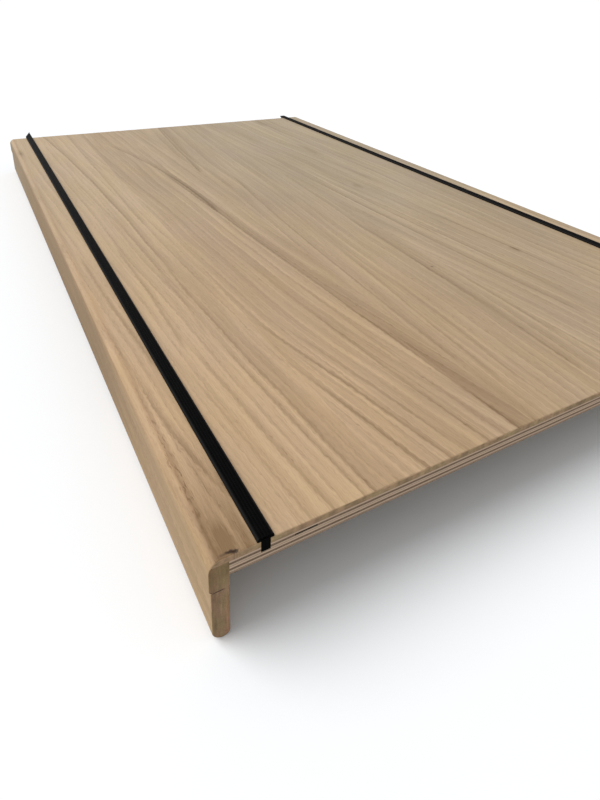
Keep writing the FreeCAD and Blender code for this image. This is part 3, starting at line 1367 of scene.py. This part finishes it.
@dataclass
class OakFace(Assembly):
    """Oak face of the tread: the field between the strips and a lip outside each strip.

    Attributes:
        ease_waves: Lengths of the waves in the end edges and their shares of the edges' radius.
        chip_slant: How far the chip's middle line moves along for each step across.
        tear_spacing: Points from one tear in the chip's edge to the next.
    """

    slot: ClassVar[Slot] = Slot.OAK_FACE

    arris: float = 0.15 * MM
    arris_steps: int = 3
    round_steps: int = 14
    field_spacing: float = 2.0 * MM
    field_seed: int = 3
    lip_spacing: float = 0.5 * MM
    lip_seed: int = 11
    end_ease: float = 0.9 * MM
    ease_least: float = 0.4
    ease_waves: Points = ((14.0 * MM, 0.7), (4.0 * MM, 0.5))
    chip_across: float = 14.6 * MM
    chip_along: float = 1.9 * MM
    chip_slant: float = -0.36
    chip_half_width: float = 3.6 * MM
    chip_half_length: float = 0.8 * MM
    chip_depth: float = 0.9 * MM
    chip_steepness: float = 1.5
    chip_reach: Range = (6.1 * MM, 1.5 * MM)
    chip_rings: int = 24
    tear_spacing: int = 3
    tear_seed: int = 5
    tear_least: float = 0.5

    def build(self) -> None:
        """Make the field and both lips."""
        self.add("oak_field", "oak_field_sheet", self.field_grid())
        for side in Side:
            grid = self.lip_grid(side)
            if side is Side.FRONT:
                self.chip(grid)
            self.add(side.word + "_oak_lip", side.word + "_lip_sheet", grid)

    def eased(self, count: int, spacing: float, seed: int) -> np.ndarray:
        """Radius of the end edges, uneven as sawing and hand sanding leave it.

        Args:
            count: Points round the section.
            spacing: Distance from point to point.
            seed: Start of the random draw.

        Returns:
            One radius for each point.
        """
        ease = np.full(count, self.ease_least)
        for number, (length, share) in enumerate(self.ease_waves):
            ease += share * smooth_noise(count, round(length / spacing), seed + number)
        return self.end_ease * ease

    def field_grid(self) -> np.ndarray:
        """Surface of the sheet between the grooves, a flat board with fine arrises.

        Returns:
            Rings of points along X.
        """
        s = self.sizes
        inner = s.half_depth - s.groove_inner
        corners = np.array([
            (-inner, s.face_under_z),
            (inner, s.face_under_z),
            (inner, s.top_z),
            (-inner, s.top_z),
        ])
        outline = rounded_outline(corners, np.full(len(corners), self.arris), self.arris_steps)
        outline = subdivided(outline, self.field_spacing)
        shown = side_middles(outline)[:, 1] > s.top_z - HAIR
        ease = self.eased(len(outline), self.field_spacing, self.field_seed)
        return Moulding(outline, shown, s.far_x, s.near_x, ease).grid()

    def lip_grid(self, side: Side) -> np.ndarray:
        """Surface of a lip, a flat board with the upper stretch of the nosing's round.

        Args:
            side: Long edge of the lip.

        Returns:
            Rings of points along X.
        """
        s = self.sizes
        cut = NosingRound(s)
        corners = np.vstack([
            [(s.groove_outer, s.face_under_z)],
            cut.points(cut.joint, math.pi / 2, self.round_steps),
            [(s.groove_outer, s.top_z)],
        ])
        groove_edges = [0, -1]
        radii = np.zeros(len(corners))
        radii[groove_edges] = self.arris
        outline = rounded_outline(s.across(corners, side), radii, self.arris_steps)
        outline = subdivided(outline, self.lip_spacing)
        y, height = side_middles(outline).T
        on_round = (s.inset(y) < cut.radius) & (height > s.face_under_z + HAIR)
        shown = on_round | (height > s.top_z - HAIR)
        stations = s.near_x - np.linspace(*self.chip_reach, self.chip_rings)
        ease = self.eased(len(outline), self.lip_spacing, self.lip_seed)
        return Moulding(outline, shown, s.far_x, s.near_x, ease, stations).grid()

    def chip(self, grid: np.ndarray) -> None:
        """Tear a shallow chip out of the top of the front lip, just in from its near end.

        The top sinks by depth * steepness * (1 - u * u - v * v), and by no more than the depth,
        where u and v are the distances across and along from the chip's slanted middle line in
        half-widths and half-lengths. Smooth noise makes the half-length uneven across.

        Args:
            grid: Rings of points along X, changed in place.
        """
        s = self.sizes
        inset = s.inset(grid[:, :, 1])
        torn = self.tear_least + smooth_noise(grid.shape[1], self.tear_spacing, self.tear_seed)[None, :]
        u = (inset - self.chip_across) / self.chip_half_width
        middle = self.chip_along + self.chip_slant * (inset - self.chip_across)
        v = (s.near_x - grid[:, :, 0] - middle) / (self.chip_half_length * torn)
        sink = self.chip_depth * np.clip(self.chip_steepness * (1 - u * u - v * v), 0.0, 1.0)
        height = (grid[:, :, 2] - s.face_under_z) / (s.top_z - s.face_under_z)
        grid[:, :, 2] -= sink * np.clip(height, 0.0, 1.0)


@dataclass
class Nosing(Assembly):
    """Rail and apron along one long edge."""

    slot: ClassVar[Slot] = Slot.OAK_NOSING

    side: Side
    seam_radius: float = 2.2 * MM
    seam_steps: int = 6
    foot_radius: float = 7.0 * MM
    foot_steps: int = 12
    round_steps: int = 8
    arris: float = 0.25 * MM
    end_ease: float = 0.7 * MM
    spacing: float = 2.0 * MM

    def build(self) -> None:
        """Make the rail and the apron."""
        s = self.sizes
        word = self.side.word
        for part, outline in (("rail", self.rail_outline()), ("apron", self.apron_outline())):
            outline = subdivided(outline, self.spacing)
            y, height = side_middles(outline).T
            shown = height < s.seam_z - HAIR
            if part == "rail":
                outside = s.inset(y) < s.rail_thickness / 2
                shown = outside & (height > s.seam_z + HAIR) & (height < s.face_under_z - HAIR)
            grid = Moulding(outline, shown, s.far_x, s.near_x, self.end_ease).grid()
            self.add(f"{word}_nosing_{part}", f"{word}_{part}_moulding", grid)

    def rail_outline(self) -> np.ndarray:
        """Section of the rail: the lower stretch of the round, an eased lower edge and square backs.

        Returns:
            Anticlockwise (y, z) points.
        """
        s = self.sizes
        cut = NosingRound(s)
        corners = np.vstack([
            [(s.rail_thickness, s.face_under_z), (s.rail_thickness, s.seam_z), (0.0, s.seam_z)],
            cut.points(0.0, cut.joint, self.round_steps),
        ])
        radii = np.zeros(len(corners))
        radii[:3] = (self.arris, self.arris, self.seam_radius)
        return rounded_outline(s.across(corners, self.side), radii, self.seam_steps)

    def apron_outline(self) -> np.ndarray:
        """Section of the apron: a flat board whose lower edge is rounder outside than inside.

        Returns:
            Anticlockwise (y, z) points.
        """
        s = self.sizes
        corners = np.array([
            (s.apron_setback, s.foot_z),
            (s.rail_thickness, s.foot_z),
            (s.rail_thickness, s.seam_z),
            (s.apron_setback, s.seam_z),
        ])
        inner_radius = s.rail_thickness - s.apron_setback - self.foot_radius - HAIR
        radii = np.array([self.foot_radius, inner_radius, 0.0, 0.0])
        return rounded_outline(s.across(corners, self.side), radii, self.foot_steps)


@dataclass
class GripStrip(Assembly):
    """Rubber strip of T section with round shoulders and a fluted top.

    Attributes:
        tail_slants: How far the cut of each strip's tail slants along the tread.
    """

    slot: ClassVar[Slot] = Slot.RUBBER
    sharp_degrees: ClassVar[float] = 50.0
    tail_slants: ClassVar[dict[Side, float]] = {Side.FRONT: 37.0 * MM, Side.BACK: 0.0}

    side: Side
    groove_play: float = 0.1 * MM
    shoulder_radius: float = 1.5 * MM
    toe_radius: float = 1.4 * MM
    flute_count: int = 4
    flute_width: float = 1.15 * MM
    flute_floor: float = 0.506 * MM
    flute_depth: float = 0.6 * MM
    flute_radius: float = 0.22 * MM
    arc_steps: int = 5
    end_ease: float = 0.4 * MM
    end_rings: Range = (4.0 * MM, 2.0 * MM)

    def outline(self) -> np.ndarray:
        """Section of the strip, with each flute a shallow rounded trough.

        Returns:
            Anticlockwise (y, z) points.
        """
        s = self.sizes
        stem_outer = s.groove_outer + self.groove_play
        stem_inner = s.groove_inner - self.groove_play
        crown = s.flange_inner - s.flange_outer - 2 * self.shoulder_radius
        share = (np.arange(self.flute_count) + 0.5) / self.flute_count
        centres = s.flange_outer + self.shoulder_radius + crown * share
        steps = np.array([-self.flute_width, -self.flute_floor, self.flute_floor, self.flute_width]) / 2
        trough = np.tile([0.0, -self.flute_depth, -self.flute_depth, 0.0], self.flute_count)
        corners = np.vstack([
            [(s.flange_outer, s.top_z), (s.flange_outer, s.crown_z)],
            np.column_stack([(centres[:, None] + steps).ravel(), s.crown_z + trough]),
            [(s.flange_inner, s.crown_z), (s.flange_inner, s.top_z), (stem_inner, s.top_z)],
            [(stem_inner, s.stem_floor_z), (stem_outer, s.stem_floor_z), (stem_outer, s.top_z)],
        ])
        shoulders = [1, -6]
        toes = [-3, -2]
        radii = np.full(len(corners), self.flute_radius)
        radii[shoulders] = self.shoulder_radius
        radii[toes] = self.toe_radius
        return rounded_outline(s.across(corners, self.side), radii, self.arc_steps)

    def build(self) -> None:
        """Make the strip from the flush near end to its tail."""
        s = self.sizes
        node = self.side.word + "_grip_strip"
        outline = self.outline()
        low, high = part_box(node)
        share = (outline[:, 0] - low.y) / (high.y - low.y)
        outer_share = 1 - share if self.side is Side.FRONT else share
        ends = low.x + self.tail_slants[self.side] * outer_share
        shown = np.ones(len(outline), dtype=bool)
        stations = [s.far_x + self.end_rings[0], s.near_x - self.end_rings[1]]
        grid = Moulding(outline, shown, ends, s.near_x, self.end_ease, stations).grid()
        self.add(node, self.side.word + "_rubber_strip", grid)


@dataclass
class Studio:
    """Floor, light and camera.

    Attributes:
        floor_bounce: Colour of the floor for light that goes on to the tread.
        sun_degrees: Angle across the lamp, which sets how soft the shadow is.
        sun_towards: Direction in which the lamp shines.
        camera_past_end: Distance of the camera out from the near end.
        focal_pixels: Focal length in pixels of a picture of the frame's height.
        principal_row: Row of that picture, from the top, that lies straight ahead.
    """

    sizes: TreadSizes
    floor_half: float = 40.0
    floor_white: Colour = (0.96, 0.978, 0.995)
    floor_bounce: Colour = (0.5, 0.5, 0.5)
    sky_white: Colour = (1.0, 1.0, 1.0)
    sky_strength: float = 0.54
    sun_strength: float = 2.17
    sun_degrees: float = 50.0
    sun_towards: Triple = (0.36, 0.56, -0.75)
    camera_past_end: float = 0.2063
    camera_y: float = -0.3764
    camera_z: float = 0.3376
    camera_aim: Triple = (-0.79045, 0.45943, -0.4051)
    camera_roll_degrees: float = 2.055
    camera_clip: float = 0.01
    sensor_width: float = 36.0
    focal_pixels: float = 593.6
    frame_height: float = 800.0
    principal_row: float = 250.0

    def build(self) -> None:
        """Set up everything round the tread."""
        self.floor()
        self.sky()
        self.sun()
        self.camera()
        bpy.context.scene.view_settings.view_transform = "Standard"

    def floor(self) -> None:
        """Lay a wide pale floor that keeps the tread's shadow."""
        corners = np.array([(-1, -1, 0), (1, -1, 0), (1, 1, 0), (-1, 1, 0)]) * self.floor_half
        mesh = bpy.data.meshes.new("floor")
        mesh.from_pydata(corners.tolist(), [], [(0, 1, 2, 3)])
        made = bpy.data.materials.new("pale_floor")
        made.use_nodes = True
        sheet = NodeSheet(made.node_tree)
        sheet.tree.nodes.remove(sheet.tree.nodes["Principled BSDF"])
        seen = sheet.named(sheet.node("LightPath"))["Is Camera Ray"]
        matt = sheet.wired("BsdfDiffuse", sheet.mix(seen, self.floor_bounce, self.floor_white))
        sheet.named(sheet.tree.nodes["Material Output"], Surface=matt)
        mesh.materials.append(made)
        floor = bpy.data.objects.new("floor", mesh)
        bpy.context.scene.collection.objects.link(floor)

    def sky(self) -> None:
        """Light the tread evenly from all round, with a white background."""
        world = bpy.data.worlds.new("studio")
        bpy.context.scene.world = world
        world.use_nodes = True
        sheet = NodeSheet(world.node_tree)
        sheet.tree.nodes.remove(sheet.tree.nodes["Background"])
        soft = sheet.wired("Background", opaque(self.sky_white), self.sky_strength)
        white = sheet.wired("Background", opaque(self.sky_white), 1.0)
        path = sheet.named(sheet.node("LightPath"))
        seen = sheet.math("MAXIMUM", path["Is Camera Ray"], path["Is Glossy Ray"])
        seen = sheet.math("MAXIMUM", seen, path["Is Transmission Ray"])
        sheet.named(sheet.tree.nodes["World Output"], Surface=sheet.wired("MixShader", seen, soft, white))

    def sun(self) -> None:
        """Add one broad soft lamp from above the front far corner."""
        lamp = bpy.data.lights.new("soft_lamp", "SUN")
        lamp.energy = self.sun_strength
        lamp.angle = math.radians(self.sun_degrees)
        holder = bpy.data.objects.new("soft_lamp", lamp)
        holder.rotation_mode = "QUATERNION"
        holder.rotation_quaternion = Vector(self.sun_towards).to_track_quat("-Z", "Y")
        bpy.context.scene.collection.objects.link(holder)

    def camera(self) -> None:
        """Stand the camera off the near front corner, looking along the tread."""
        data = bpy.data.cameras.new("camera")
        data.sensor_width = self.sensor_width
        data.lens = self.focal_pixels / self.frame_height * self.sensor_width
        data.shift_y = (self.principal_row - self.frame_height / 2) / self.frame_height
        data.clip_start = self.camera_clip
        holder = bpy.data.objects.new("camera", data)
        holder.location = (self.sizes.near_x + self.camera_past_end, self.camera_y, self.camera_z)
        holder.rotation_mode = "QUATERNION"
        level = Vector(self.camera_aim).to_track_quat("-Z", "Y")
        holder.rotation_quaternion = level @ Quaternion((0, 0, 1), math.radians(self.camera_roll_degrees))
        bpy.context.scene.collection.objects.link(holder)
        bpy.context.scene.camera = holder


FACE_OAK = OakFinish(
    Slot.OAK_FACE,
    boards=(
        OakBoard(-0.045, -0.04, -20.0, 0.72),
        OakBoard(-0.03, -0.14, 330.0, 0.36),
        OakBoard(0.045, 0.03, 190.0, 0.36),
        OakBoard(-0.05, 0.0, 520.0, 0.5),
        OakBoard(-0.02, 0.0, 430.0, 0.48),
    ),
    lines=(
        GrainLine((-60, 720), (233, 211, 191), 0.6, 0.85, (20, 7)),
        GrainLine((-150, 190), (231, 229, 226), 0.22, 1.0, (16, 5)),
        GrainLine((480, 930), (202.5, 191.5, 143), 0.55, 0.7, (5, 10)),
        GrainLine((-60, 330), (112, 98, 90), 0.5, 0.8, (20, 7)),
        GrainLine((270, 1200), (91, 79.4, 34.8), 0.6, 0.5, (5, 8)),
        GrainLine((480, 1200), (104, 101, 98), 0.35, 0.6, (5, 8)),
        GrainLine((-30, 230), (101, 92, 80), 0.4),
        GrainLine((200, 620), (80, 80, 66), 0.35),
        GrainLine((-30, 160), (153, 137, 121), 0.65, 0.4, (3, 2)),
        GrainLine((-30, 240), (173, 148, 120), 0.65, 0.4, (4, 2)),
        GrainLine((-30, 220), (188, 164, 140), 0.4),
        GrainLine((-30, 380), (205, 183, 173), 0.5, 0.5, (5, 4)),
        GrainLine((-30, 300), (218, 205, 195), 0.35),
        GrainLine((-30, 200), (66, 55, 46), 0.45),
        GrainLine((-30, 230), (80, 68, 60), 0.45, 0.6, (5, 4)),
        GrainLine((190, 480), (57, 57, 55), 0.4, 0.8, (5, 4)),
        GrainLine((70, 660), (249, 262, 290), 0.5, 0.4, (3, 4)),
        GrainLine((660, 1100), (246, 266, 290), 0.55, 0.8, (6, 22)),
        GrainLine((40, 330), (260, 273, 286), 0.4),
        GrainLine((30, 260), (274, 286, 292), 0.4),
        GrainLine((20, 420), (331, 343, 351), 0.45, 0.8, (8, 8)),
        GrainLine((60, 260), (362, 364, 367), 0.35, 0.6),
        GrainLine((80, 760), (415, 396, 392), 0.5, 0.7, (7, 9)),
        GrainLine((90, 380), (435, 429, 420), 0.45, 0.6),
        GrainLine((130, 400), (480, 472, 460), 0.5, 0.7, (6, 6)),
        GrainLine((290, 560), (419, 414, 410), 0.35, 0.7, (5, 6)),
        GrainLine((-20, 300), (4.5, 7.5, 6.0), 0.4, 0.5, (3, 2)),
        GrainLine((30, 200), (28.5, 14.5, 10.5), 0.5, 0.9, (4, 5)),
        GrainLine((170, 460), (28, 19, 13), 0.5, 0.8, (3, 3)),
    ),
    smears=(
        SoftSpot(0, 14, 28, 5.5, 0.75),
        SoftSpot(0, 11, 50, 7, 0.48),
        SoftSpot(0, 16, 120, 20, 0.5),
        SoftSpot(0, 25, 62, 7, 0.45),
        SoftSpot(225, 474, 12, 5, 0.45),
        SoftSpot(506, 440, 16, 8, 0.35),
        SoftSpot(717, 482, 60, 8, 0.35),
        SoftSpot(553, 480, 60, 7, 0.2),
        SoftSpot(965, 497, 40, 10, 0.35),
        SoftSpot(890, 7, 30, 6, 0.4),
    ),
    open_pores=(SoftSpot(88, 7.5, 75, 5, 1.3),),
    knots_and_chip_shadow=(
        SoftSpot(231, 351, 3.0, 2.0, 0.7),
        SoftSpot(886, 7, 12, 2.4, 0.35),
        # These three spots are painted shadow in the torn chip near the near end.
        SoftSpot(2.5, 13.0, 1.5, 3.0, 1.7),
        SoftSpot(1.4, 16.0, 1.5, 3.0, 1.7),
        SoftSpot(2.2, 9.0, 1.6, 3.4, 0.6),
    ),
)
NOSING_OAK = NosingFinish(
    Slot.OAK_NOSING,
    boards=(OakBoard(0.01, 0.0, 380.0, 0.45), OakBoard(-0.01, 0.0, 230.0, 0.45)),
    pitch=3.0,
    depth=30.0,
    seed=9.0,
    contrast=0.55,
    light=(0.529, 0.374, 0.213),
    mid=(0.388, 0.265, 0.147),
    back_painted_shade=(1.0, 1.0, 1.0),
    # Painted shade: the nosing darker towards the far end.
    far_painted_light=(0.68, 0.665, 0.66),
    far_light_range=(70.0, 300.0),
    # Painted pale, cool sheen towards the far end of the nosing.
    lip_tint_and_far_sheen=(1.1, 1.21, 1.34),
    lip_and_sheen_range=(600.0, 1000.0),
    # On the nosing the same painted light lightens the outer face a little.
    edge_shade_and_highlight=(1.03, 1.02, 1.02),
    end_light=(0.49, 0.33, 0.19),
    end_dark=(0.26, 0.172, 0.094),
    end_stretch=1.0,
)


def main() -> None:
    """Build and dress the tread and set the stage."""
    logging.basicConfig(level=logging.INFO, format="%(message)s")
    sizes = TreadSizes.from_frame()
    groups = WoodGroups.build(sizes)
    tread_depth = 2 * sizes.half_depth / MM
    nosing_oak = NOSING_OAK.material(groups, tread_depth)
    rubber = RubberFinish().material(groups, sizes)
    assemblies = [(OakFace(sizes), FACE_OAK.material(groups, tread_depth))]
    assemblies += [(Nosing(sizes, side), nosing_oak) for side in Side]
    assemblies += [(GripStrip(sizes, side), rubber) for side in Side]
    for assembly, material in assemblies:
        assembly.build()
        assembly.dress(material)
    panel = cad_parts["plywood_panel"]
    panel.data.materials.clear()
    panel.data.materials.append(PlyFinish().material(groups, sizes))
    LOG.info("plywood_panel keeps its own solid")
    Studio(sizes).build()


if __name__ == "__main__":
    main()
